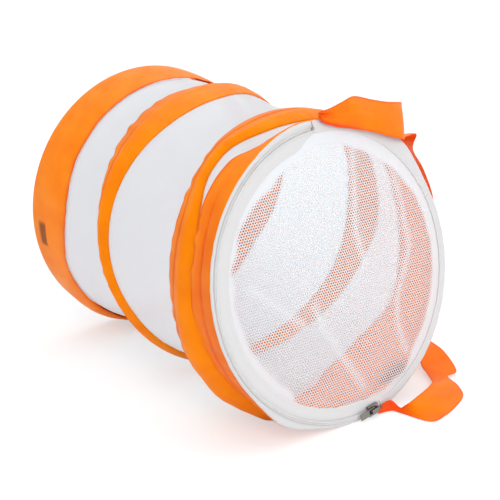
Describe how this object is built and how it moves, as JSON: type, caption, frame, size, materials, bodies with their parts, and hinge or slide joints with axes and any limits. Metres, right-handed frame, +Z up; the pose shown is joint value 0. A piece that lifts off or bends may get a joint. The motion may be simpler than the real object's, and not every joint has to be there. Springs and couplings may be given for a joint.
{
  "type": "insect cage",
  "caption": "Collapsible net insect cage lying on its side, with orange fabric bands, a spiral spring casing, a zipped net lid and a ribbon strap.",
  "frame": {"origin": "centre of the bounding box's footprint, on the surface that the cage lies on", "axes": "+Y along the cage's axis towards its back end, +Z up; the zipped lid faces -Y"},
  "size_m": [0.2276, 0.2804, 0.2095],
  "materials": {
    "orange_satin": "satin, woven polyester",
    "pale_net": "fine knitted mesh",
    "white_tape": "matt woven tape",
    "zipper_coil": "nylon coil",
    "spring_steel": "drawn wire",
    "nickel": "bright nickel plate",
    "clip_steel": "dark lacquered steel"
  },
  "bodies": {
    "cage_base": {"back_hoop_wire": "spring_steel", "back_crimp_ferrule": "clip_steel", "back_band": "orange_satin", "back_net_panel": "pale_net", "net_tube": "pale_net", "spiral_wire": "spring_steel", "spiral_casing": "orange_satin"},
    "front_skirt": {"front_band": "orange_satin"},
    "front_hoop": {"front_hoop_wire": "spring_steel", "front_crimp_ferrule": "clip_steel", "zipper_outer_tape": "white_tape", "zipper_outer_coil": "zipper_coil", "zipper_top_stop": "nickel", "zipper_bottom_stop": "nickel", "lid_hinge_strip": "white_tape", "lid_fixed_net": "pale_net"},
    "lid": {"lid_net": "pale_net", "zipper_inner_tape": "white_tape", "zipper_inner_coil": "zipper_coil"},
    "slider": {"zipper_slider": "nickel"},
    "pull": {"zipper_pull": "nickel"},
    "strap": {"carry_strap": "orange_satin"}
  },
  "joints": [
    {"name": "collapse", "type": "slide", "parent": "cage_base", "child": "front_skirt", "axis": [0, 1, 0], "range_m": [0, 0.155], "stiffness_N_per_m": 30, "deforming": ["net_tube", "spiral_wire", "spiral_casing"]},
    {"name": "front_tilt", "type": "hinge", "parent": "front_skirt", "child": "front_hoop", "pos_m": [-0.01384, -0.10835, 0], "axis": [1, 0, 0], "range_deg": [-5, 12.8], "stiffness_Nm_per_rad": 0.8, "deforming": ["front_band"]},
    {"name": "lid_hinge", "type": "hinge", "parent": "front_hoop", "child": "lid", "pos_m": [-0.01894, -0.06647, 0.19238], "axis": [-0.1478, 0.2191, 0.9644], "range_deg": [0, 100]},
    {"name": "slider_run", "type": "hinge", "parent": "lid", "child": "slider", "pos_m": [-0.01384, -0.08931, 0.09772], "axis": [0, 0.9751, -0.2215], "range_deg": [0, 182]},
    {"name": "pull_flip", "type": "hinge", "parent": "slider", "child": "pull", "pos_m": [0.00119, -0.11121, 0.00541], "axis": [-0.1564, 0.2188, 0.9631], "range_deg": [0, 110]},
    {"name": "strap_swing", "type": "hinge", "parent": "front_hoop", "child": "strap", "pos_m": [-0.01284, -0.06429, 0.19765], "axis": [0.1205, -0.2239, -0.9671], "range_deg": [0, 30]}
  ]
}
